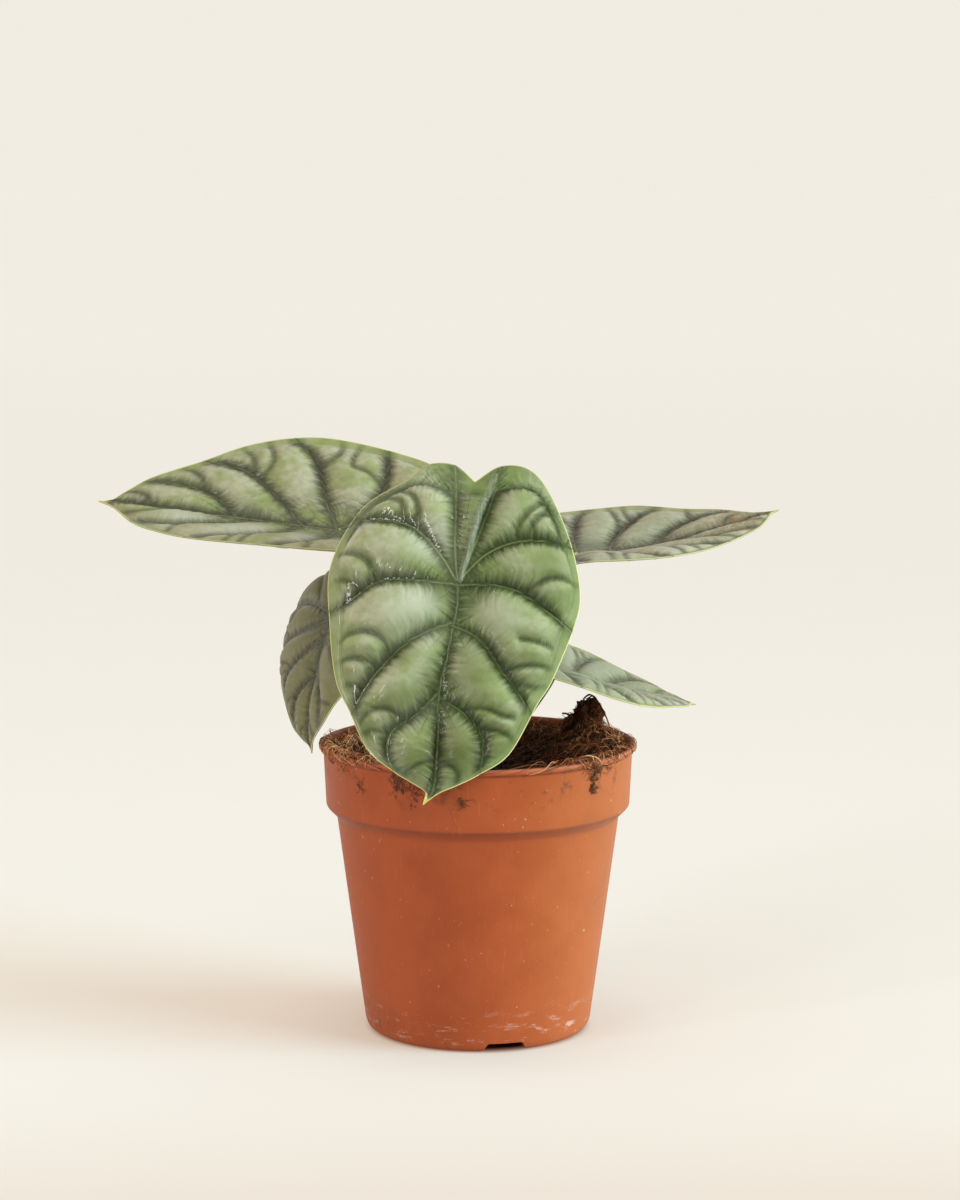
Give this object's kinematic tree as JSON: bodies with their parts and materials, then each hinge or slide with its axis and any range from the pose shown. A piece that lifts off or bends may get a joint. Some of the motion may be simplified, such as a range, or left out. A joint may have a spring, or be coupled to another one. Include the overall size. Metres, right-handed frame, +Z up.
{
  "type": "potted silver dragon alocasia",
  "caption": "Alocasia with thick quilted silver-green leaves on arching stalks, standing in a round terracotta-coloured plastic nursery pot filled with peat and coir.",
  "frame": {"origin": "on the pot's axis, on the surface that the pot stands on", "axes": "+Z up along the pot's axis, +X to the right and +Y away for someone facing the front leaf"},
  "size_m": [0.2666, 0.1387, 0.2195],
  "materials": {
    "pot_plastic": "satin",
    "peat": "matte",
    "stem": "satin",
    "front_leaf": "satin",
    "side_leaf": "satin"
  },
  "bodies": {
    "root": {"pot": "pot_plastic", "soil": "peat", "stem_base": "stem", "petiole_front": "stem", "petiole_upper_left": "stem", "petiole_upper_right": "stem", "petiole_lower_left": "stem", "petiole_lower_right": "stem", "blade_front": "front_leaf", "blade_upper_left": "side_leaf", "blade_upper_right": "side_leaf", "blade_lower_left": "side_leaf", "blade_lower_right": "side_leaf"}
  },
  "joints": []
}
